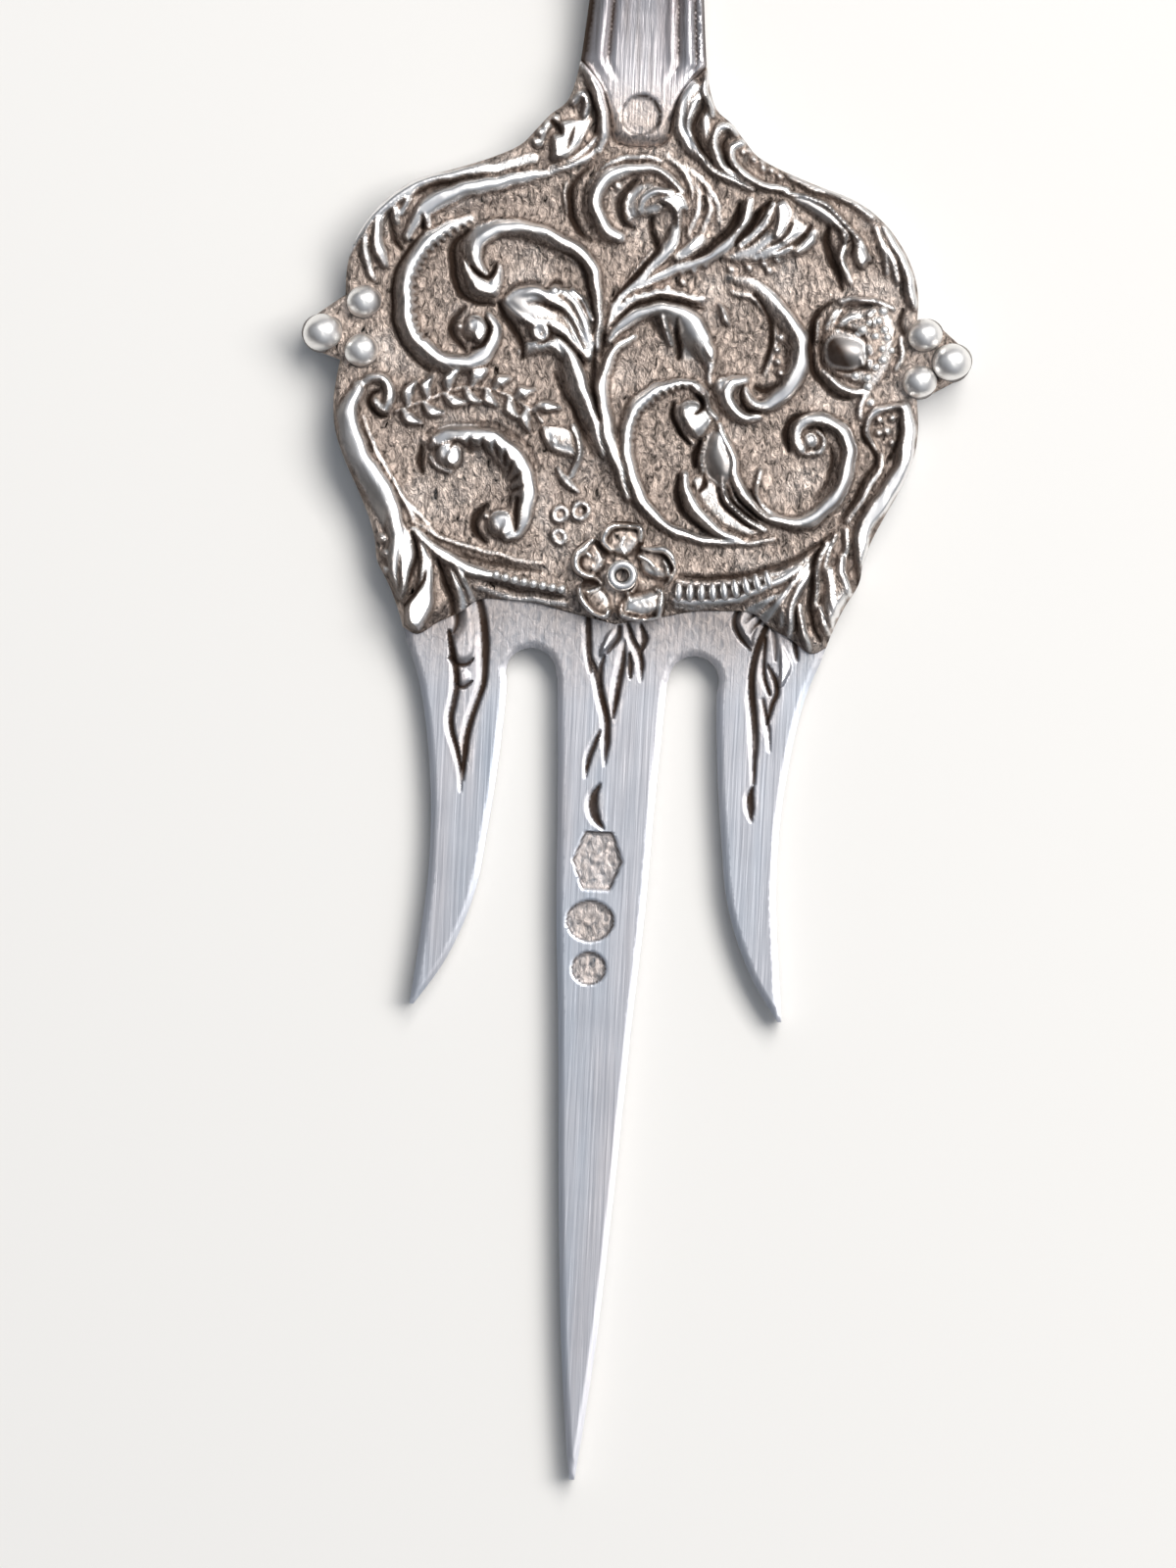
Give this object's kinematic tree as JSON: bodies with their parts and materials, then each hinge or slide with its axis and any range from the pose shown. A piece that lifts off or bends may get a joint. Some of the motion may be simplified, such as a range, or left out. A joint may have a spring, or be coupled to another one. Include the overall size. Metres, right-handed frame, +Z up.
{
  "type": "cake fork",
  "caption": "Long-tined silver cake fork with a scroll-relief head, riveted rosette, side beads, reeded stem, collar and filled handle.",
  "frame": {"origin": "middle of the head, between the slot roots and the neck, on the head's flat back", "axes": "+X across the head, +Y from the tines towards the handle, +Z up out of the ornamented face"},
  "size_m": [0.0302, 0.156, 0.008],
  "materials": {
    "brushed_silver": "brushed along the tines",
    "tarnished_silver": "oxidised ground with bright crests",
    "bright_silver": "worn polish with tarnish in the recesses",
    "stem_silver": "streaky brushed, reeded sides",
    "handle_silver": "soft polish with tarnish in the recesses",
    "resin": "dull cast resin"
  },
  "bodies": {
    "root": {"tine_plate": "brushed_silver", "ornament_plaque": "tarnished_silver", "rosette": "bright_silver", "rosette_rivet": "bright_silver", "left_beads": "bright_silver", "right_beads": "bright_silver", "stem": "stem_silver", "collar": "bright_silver", "handle_front": "handle_silver", "handle_back": "handle_silver", "handle_filling": "resin"}
  },
  "joints": []
}
